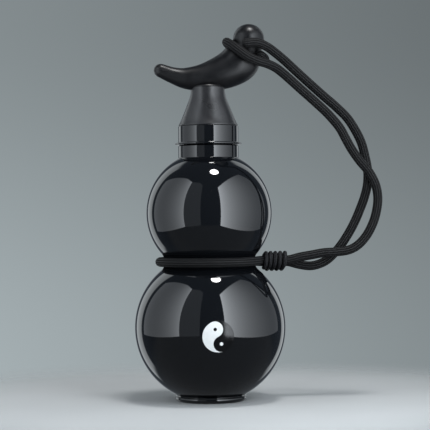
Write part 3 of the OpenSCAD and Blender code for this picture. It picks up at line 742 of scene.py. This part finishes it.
make("inner_flask_wall", [turned(flask_outline())], "bottle", STEEL, ("inner_flask",))
make("base_plate_dished", [turned(base_outline(), 160)], "bottle", LACQUER, ("base_plate",))
make("foot_ring_rolled", [turned(foot_outline())], "bottle", LACQUER, ("foot_ring",))
make("brazed_seal", [turned(seal_outline(), 64)], "bottle", DULL_STEEL, ("vacuum_seal",))


# emblem

EMBLEM_R, EMBLEM_Z, EMBLEM_TURN = 11.4, 51.8, math.radians(23)
RELIEF, DOT_RELIEF, DOT_R, EDGE, FILM = 0.40, 0.45, 1.35, 0.16, 0.02


def on_bulb(x, y, lift):
    """A flat emblem point (x right, y up, turned by the emblem's lean) laid on the lower bulb:
    X = x, Z = y + emblem height, and Y so that the distance to the bulb's centre is R + lift."""
    c, s = math.cos(EMBLEM_TURN), math.sin(EMBLEM_TURN)
    px, pz = c * x - s * y, s * x + c * y + EMBLEM_Z
    r = LOWER_R + lift
    depth = -np.sqrt(np.clip(r ** 2 - px ** 2 - (pz - LOWER_Z) ** 2, 0, None))
    return np.stack([px, depth, pz], axis=-1) * MM


def comma_edges():
    """Edges of one comma from its top to its tail: the half circle on its left, and on its
    right the head's half circle bulging out, then the other head's half circle biting in."""
    a = np.linspace(0, math.pi, 120)
    outer = np.stack([-EMBLEM_R * np.sin(a), EMBLEM_R * np.cos(a)], axis=1)
    half = np.linspace(0, math.pi, 60)
    r = EMBLEM_R / 2
    upper = np.stack([r * np.sin(half), r + r * np.cos(half)], axis=1)
    lower = np.stack([-r * np.sin(half), -r + r * np.cos(half)], axis=1)
    return outer, np.vstack([upper, lower])


def comma(sign, height):
    """One comma, sign 1 for the light one on the left and -1 for the dark one on the right. Each
    row of points goes straight from the outer edge to the inner one, closer together at both,
    and the enamel's height is h sqrt(1 - (1 - d / EDGE)^2) within EDGE of an edge."""
    outer, inner = comma_edges()
    w = np.linspace(0, 1, 40)
    w = (w * w * (3 - 2 * w))[None, :, None]
    flat = (outer[:, None, :] * (1 - w) + inner[:, None, :] * w) * sign
    edge = np.minimum(w[..., 0], 1 - w[..., 0]) * np.linalg.norm(inner - outer, axis=1)[:, None]
    d = np.clip(edge / EDGE, 0, 1)
    rise = height * np.sqrt(np.clip(1 - (1 - d) ** 2, 0, 1))
    return patch(on_bulb(flat[..., 0], flat[..., 1], FILM + rise))


def dot(y, height):
    """Small raised disc: rings of radius q with the height of a flat button with a round edge."""
    q = DOT_R * np.array([0, 0.45, 0.8, 0.9, 0.95, 0.985, 1.0, 1.0])
    lift = height * np.array([1, 1, 1, 0.96, 0.88, 0.7, 0.3, 0.0])
    a = round_about(48)
    x, z = q[:, None] * np.cos(a), y + q[:, None] * np.sin(a)
    return patch(on_bulb(x, z, FILM + lift[:, None]), close_columns=True, poles=(True, False))


make("emblem_white", [comma(1, RELIEF), dot(-EMBLEM_R / 2, DOT_RELIEF)], "bottle", WHITE_ENAMEL,
     ("emblem_light",))
make("emblem_black", [comma(-1, RELIEF), dot(EMBLEM_R / 2, DOT_RELIEF)], "bottle", BLACK_ENAMEL,
     ("emblem_dark",))


# lid

def sleeve_outline():
    """Sleeve: bevelled bottom edge, rounded lip, fillet above it, wall and rounded top edge."""
    lip, fillet, edge, bevel = 0.8, 0.4, 0.3, 0.15
    return np.vstack([
        arc(SLEEVE_BORE + bevel, LID_Z + bevel, bevel, 180, 270, 5),
        arc(LIP_R - lip, LID_Z + lip, lip, -88, 88, 17),
        arc(SLEEVE_R + fillet, LID_Z + 2 * lip + fillet, fillet, -90, -180, 7),
        [[SLEEVE_R, 199.0]],
        arc(SLEEVE_R - edge, SLEEVE_TOP - edge, edge, 0, 90, 6),
        [[SLEEVE_BORE + bevel, SLEEVE_TOP], [SLEEVE_BORE, SLEEVE_TOP - bevel], [SLEEVE_BORE, LID_Z + edge]],
    ])


make("lid_sleeve_polished", [turned(sleeve_outline(), 256)], "lid", LACQUER, ("lid_sleeve",))


def cone_outline():
    """Cone under the stem: rounded base edge, straight side, sweep into an upright top, rounded
    top edge, and the pocket underneath. Near the base the side flares out by
    flare (1 - h / reach)^2 at the height h."""
    lean, flare, reach = 21.8, 0.35, 5.0
    pocket_r, pocket_z, seat_r = 20.0, 207.1, 21.25
    edge, edge_r, edge_z = 0.8, 20.98, 206.1
    side_foot, side_top = [21.68, 206.5], [14.302, 224.961]
    sweep, sweep_z, rounding, top_r, top_z = 23.8, 233.8, 2.5, 12.6, 236.5
    side = np.linspace(side_foot, side_top, 60)
    side[:, 0] += flare * np.clip(1 - (side[:, 1] - side[0, 1]) / reach, 0, 1) ** 2
    base_lean = lean + math.degrees(2 * flare / reach)
    return np.vstack([
        [[0, pocket_z], [pocket_r - 0.2, pocket_z], [pocket_r, pocket_z - 0.2], [pocket_r, SLEEVE_TOP],
         [seat_r, SLEEVE_TOP]],
        arc(edge_r + flare, edge_z, edge, -85, base_lean, 10),
        side[1:],
        arc(top_r + sweep, sweep_z, sweep, 180 + lean, 180, 14)[1:],
        arc(top_r - rounding, top_z - rounding, rounding, 2, 90, 12),
        [[0, top_z]],
    ])


# X, height above the sleeve and radius of the stem, from the tip to the head
STEM = [(-35.4, 41.9, 5.1), (-25.9, 38.2, 6.2), (-15.6, 36, 8.2), (-1.3, 37, 10.8), (15, 42.3, 13.6),
        (24.9, 49.1, 14.7), (29.4, 57.3, 11.5), (31.2, 65.1, 11.7)]


def stem_line():
    """Spine of the stem as (x, 0, z) with its radii. Each end is closed by a cap whose radius
    falls as cos a while it runs out as sin a, starting at the slope that the stem has there."""
    s = smooth(STEM, 18)

    def cap(end, before):
        """Spine points and radii from the last point of the stem to its round end."""
        out, radius = end[:2] - before[:2], end[2]
        slope = np.clip((before[2] - radius) / np.linalg.norm(out), -0.2, 0.3)
        first = math.asin(np.clip(slope / (1 - slope), -0.3, 0.4))
        a = np.linspace(first, math.pi / 2, 18)[1:]
        run = radius * (np.sin(a) - math.sin(first)) / (1 - math.sin(first))
        return np.column_stack([end[:2] + unit(out) * run[:, None], radius * np.cos(a) / math.cos(first)])
    full = np.vstack([cap(s[0], s[1])[::-1], s, cap(s[-1], s[-2])])
    line = np.column_stack([full[:, 0], np.zeros(len(full)), SLEEVE_TOP + full[:, 1]])
    return line * MM, full[:, 2] * MM


def stem_part(middles):
    """The stem is what lies outside the cone's own radii at these heights, or above its top."""
    r, z = np.hypot(middles[:, 0], middles[:, 1]), middles[:, 2]
    heights, radii = [0.206, 0.2115, 0.225, 0.2338, 0.2366], [0.0225, 0.0198, 0.0144, 0.01265, 0.0102]
    return (r > np.interp(z, heights, radii) + 0.0001) | (z > 0.23652)


line, radii = stem_line()
# the stem's faces take the copy of the plastic that is painted darker for shade
make("lid_handle_moulding", [turned(cone_outline(), 160), tube(line, radii, 112, (0, 1, 0))], "lid",
     SOFT_GREY, ("lid_handle",), (STEM_PLASTIC_PAINTED_SHADE,), stem_part)


def liner_outline():
    """Liner inside the sleeve: skirt with the threaded bore, boss in the cone's pocket, and the
    plug's wall hanging down inside."""
    skirt_r, skirt_foot, boss_r, boss_top = 21.75, 192.0, 19.9, 207.0
    corners = [(SKIRT_BORE, skirt_foot, 0.3), (skirt_r, skirt_foot, 0.3), (skirt_r, SLEEVE_TOP - 0.05, 0),
               (boss_r, SLEEVE_TOP, 0), (boss_r, boss_top, 0.2), (0.01, boss_top, 0), (0.01, DECK_Z, 0),
               (PLUG_BORE, DECK_Z, 0.3), (PLUG_BORE, PLUG_FOOT, 0), (PLUG_R, PLUG_FOOT, 0),
               (PLUG_R, DECK_Z, 0.3), (SKIRT_BORE, DECK_Z, 0.3)]
    bore = np.linspace([SKIRT_BORE, DECK_Z - 0.6], [SKIRT_BORE, skirt_foot + 0.6], 70)
    return np.vstack([filleted(corners, 5), bore])


def liner_thread(r, z, a):
    """Only the bore of the skirt carries the thread, half a pitch away from the bottle's."""
    thread_phase = 0.5 - 0.3 / THREAD_PITCH
    moved = thread(depth=1.0, start_z=192.9, stop_z=202.6, phase=thread_phase, sign=-1)(r, z, a)
    return np.where((np.abs(r - SKIRT_BORE) < 0.05) & (z < DECK_Z - 0.6), moved, r)


def plug_cap_outline():
    """Cap under the plug: rounded disc with a ring that stands up inside the plug's bore."""
    edge, top, ring_out, ring_in, bevel = 0.6, PLUG_FOOT + 2.5, PLUG_BORE - 0.1, PLUG_BORE - 1.3, 0.2
    return np.vstack([
        [[0, PLUG_FOOT - 2 * edge], [PLUG_R - edge, PLUG_FOOT - 2 * edge]],
        arc(PLUG_R - edge, PLUG_FOOT - edge, edge, -90, 90, 11)[1:],
        [[ring_out, PLUG_FOOT], [ring_out, top - bevel], [ring_out - bevel, top], [ring_in + bevel, top],
         [ring_in, top - bevel], [ring_in, PLUG_FOOT], [0, PLUG_FOOT]],
    ])


GASKET = filleted([(PLUG_R + 0.1, DECK_Z - 1.2, 0.3), (SKIRT_BORE - 0.1, DECK_Z - 1.2, 0.3),
                   (SKIRT_BORE - 0.1, DECK_Z, 0.2), (PLUG_R + 0.1, DECK_Z, 0.2)], 6)
make("lid_liner_threaded", [turned(liner_outline(), 192, liner_thread)], "lid", LINER,
     ("lid_insert",))
make("sealing_ring", [turned(GASKET, 128)], "lid", SILICONE, ("lid_gasket",))
make("plug_cap", [turned(plug_cap_outline(), 128)], "lid", LINER, ("plug_cover",))

for (name, material) in (("foam_core", FOAM), ("lid_screws", STEEL), ("getter", DULL_STEEL)):
    carried_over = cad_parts[name]
    carried_over.data.materials.clear()
    carried_over.data.materials.append(material)


# floor, light and camera

AHEAD, ACROSS = (0.1045, 0.9945, 0.0), (0.9945, -0.1045, 0.0)
FLOOR_LIGHT, FLOOR_SHADE = (0.46, 0.475, 0.48, 1.0), (0.43, 0.445, 0.45, 1.0)
TABLE_DARK, FILL_GREY = (0.13, 0.14, 0.15, 1.0), (0.26, 0.28, 0.29, 1)
ROOM_DARK, ROOM_MIDDLE, ROOM_STRIP = (0.065, 0.08, 0.10, 1), (0.35, 0.38, 0.4, 1), (0.98, 1.05, 1.09, 1)
WALL_GREY, LAMP_WHITE = (0.247, 0.282, 0.294), (0.91, 0.97, 1.03)
# soft edges of what polished surfaces see of the room, in parts of the direction of view
LEFT_STRIP, RIGHT_STRIP = ((-0.80, -0.76), (-0.45, -0.51)), ((0.68, 0.64), (0.42, 0.46))
STRIP_RISE, MIDDLE_RISE = ((-0.55, -0.45), (0.8, 0.7)), ((-0.4, -0.3), (0.6, 0.5))


def paint_floor():
    """Matt pale floor that thins out into the background far from the object. Polished surfaces
    see a dark table top in front of the object in its place, and the studio behind."""
    m, tree, shader, place = finish("pale_floor", roughness=0.7, specular_ior_level=0.2)
    flat = node(tree, "VectorMath", {0: place, 1: (1.0, 1.0, 0.0)}, operation="MULTIPLY").outputs[0]
    reach = node(tree, "VectorMath", {0: flat}, operation="LENGTH").outputs["Value"]
    far = ramp(reach, 0.14, 0.33)
    grain = use(tree, GRAIN, Place=place, Fine=300.0, Coarse=6.0)
    tone = mixed(grain["Tone"], FLOOR_SHADE, FLOOR_LIGHT)
    feed(shader.inputs["Base Color"], tone)
    front = parts(place)["Y"]
    table = times(ramp(reach, 0.375, 0.355), ramp(front, 0.03, -0.03))
    dark = node(tree, "Emission", {"Color": TABLE_DARK, "Strength": 1.0})
    clear = node(tree, "BsdfTransparent").outputs[0]
    plain = node(tree, "MixShader", {0: far, 1: shader.outputs[0], 2: clear})
    mirrored = node(tree, "MixShader", {0: table, 1: clear, 2: dark.outputs[0]})
    glossy = node(tree, "LightPath").outputs["Is Glossy Ray"]
    seen = node(tree, "MixShader", {0: glossy, 1: plain.outputs[0], 2: mirrored.outputs[0]})
    feed(tree.nodes["Material Output"].inputs["Surface"], seen.outputs[0])
    return m


FLOOR = np.array([(r, -0.1) for r in (0, 100, 200, 400, 800, 1600, 3200, 6000)])
floor = make("floor", [turned(FLOOR, 96)], None, paint_floor())


def paint_world():
    """Studio round the object. The camera sees a grey wall, lighter low down and to the left.
    Polished surfaces see a dark room with a pale strip of wall behind the object on each side.
    Everything else gets a plain fill light."""
    world = bpy.data.worlds.new("studio")
    bpy.context.scene.world = world
    world.use_nodes = True
    tree = world.node_tree
    way = node(tree, "TexCoord").outputs["Generated"]
    rise = parts(way)["Z"]

    def share(axis):
        """How far the direction of view points along an axis, from -1 to 1."""
        return node(tree, "VectorMath", {0: way, 1: axis}, operation="DOT_PRODUCT").outputs["Value"]
    level = times(ramp(rise, -0.12, 0.14, 1.22, 0.74), ramp(share(ACROSS), -0.36, 0.36, 1.42, 0.62))
    wall = node(tree, "VectorMath", {0: WALL_GREY, "Scale": level}, operation="SCALE").outputs[0]
    flat = sums("SQRT", sums("SUBTRACT", 1.0, times(rise, rise)))
    ahead, side = (sums("DIVIDE", share(axis), sums("MAXIMUM", flat, 0.01)) for axis in (AHEAD, ACROSS))

    def window(value, edges):
        """1 between two soft edges and 0 outside them."""
        return times(ramp(value, *edges[0]), ramp(value, *edges[1]))
    strips = sums("ADD", window(side, LEFT_STRIP), window(side, RIGHT_STRIP))
    strips = times(times(strips, ramp(ahead, 0.0, 0.1)), window(rise, STRIP_RISE))
    middle = times(ramp(ahead, 0.955, 0.985), window(rise, MIDDLE_RISE))
    room = mixed(middle, ROOM_DARK, ROOM_MIDDLE)
    room = mixed(strips, room, ROOM_STRIP)
    path = node(tree, "LightPath")
    fill = mixed(path.outputs["Is Glossy Ray"], FILL_GREY, room)
    colour = mixed(path.outputs["Is Camera Ray"], fill, wall)
    feed(tree.nodes["Background"].inputs["Color"], colour)


paint_world()


def stand(item, x, y, z, centre):
    """Put a lamp or the camera in the scene at centre, with its own axes along x, y and z."""
    bpy.context.scene.collection.objects.link(item)
    item.matrix_world = Matrix(((x.x, y.x, z.x, centre[0]), (x.y, y.y, z.y, centre[1]),
                                (x.z, y.z, z.z, centre[2]), (0, 0, 0, 1)))


def soft_light(name, shape, size_x, size_y, centre, aim, power, colour=(1, 1, 1)):
    """Rectangular or round area light whose face looks at a point."""
    lamp = bpy.data.lights.new(name, "AREA")
    lamp.shape = shape
    lamp.size, lamp.size_y = size_x, size_y
    lamp.energy = power
    lamp.color = colour
    lit = bpy.data.objects.new(name, lamp)
    back = (Vector(centre) - Vector(aim)).normalized()
    up = Vector((0, 0, 1)) if abs(back.z) < 0.95 else Vector((0, 1, 0))
    x = up.cross(back).normalized()
    stand(lit, x, back.cross(x), back, centre)
    lit.visible_camera = False
    return lit


def standing_panel(name, near, far, tops, slopes, bright, dim):
    """Upright panel from one floor point to another, facing the bottle. Its radiance falls from
    bright at the near edge to dim at the far one as (1 - u)^4. Its top is the lower of two
    slanted lines, which start at the near and the far edge with the heights in tops, and it is
    as high as the point where the two cross."""
    near, far = Vector((*near, 0.0)), Vector((*far, 0.0))
    width = (far - near).length
    height = (tops[0] * slopes[1] + tops[1] * slopes[0] + slopes[0] * slopes[1]) / (slopes[0] + slopes[1])
    middle = (near + far) / 2 + Vector((0, 0, height / 2))
    facing = Vector((0, 0, 1)).cross((far - near).normalized())
    if facing.dot(middle) < 0:
        facing = -facing
    lit = soft_light(name, "RECTANGLE", width, height, middle, middle - facing, math.pi * width * height,
                     LAMP_WHITE)
    lamp = lit.data
    lamp.use_nodes = True
    tree = lamp.node_tree
    spot = parts(node(tree, "NewGeometry").outputs["Parametric"])
    u = spot["X"]
    if lit.matrix_world.col[0].to_3d().dot(far - near) < 0:
        u = sums("SUBTRACT", 1.0, u)
    back = sums("SUBTRACT", 1.0, u)
    falling = sums("POWER", back, 4.0)
    strength = sums("ADD", dim, times(falling, bright - dim))
    top = sums("MINIMUM", sums("ADD", tops[0], times(u, slopes[0])),
               sums("ADD", tops[1], times(back, slopes[1])))
    under = sums("SUBTRACT", top, times(spot["Y"], height))
    shaped = times(strength, ramp(under, 0.0, 0.02))
    feed(tree.nodes["Emission"].inputs["Strength"], shaped)


# name, near and far floor point, heights and slopes of the top, radiance near and far
PANELS = [("left_panel", (-0.276, -0.232), (-0.388, 0.232), (0.62, 0.46), (0.02, 0.22), 3.1, 0.62),
          ("left_dim_panel", (-0.132, -0.353), (-0.276, -0.232), (0.58, 0.62), (0.2, 0.02), 0.28, 0.28),
          ("right_panel", (0.089, -0.352), (0.549, 0.244), (0.50, 0.31), (0.20, 0.82), 6.6, 0.4)]
for panel in PANELS:
    standing_panel(*panel)
soft_light("overhead", "ELLIPSE", size_x=0.30, size_y=0.30, centre=(0.164, -0.280, 1.584),
           aim=(0.0, 0.0, 0.12), power=11.0)

camera = bpy.data.cameras.new("camera")
camera.sensor_width = 36.0
camera.lens = 129.77
camera.clip_start = 0.01
eye = bpy.data.objects.new("camera", camera)
distance, height, shift, roll = 1.163, 0.13875, 0.0044, math.radians(0.6)
forward, right, up = Vector(AHEAD), Vector(ACROSS), Vector((0, 0, 1))
stand(eye, right * math.cos(roll) - up * math.sin(roll), up * math.cos(roll) + right * math.sin(roll),
      -forward, right * shift - forward * distance + up * height)
bpy.context.scene.camera = eye
bpy.context.scene.view_settings.view_transform = "Standard"
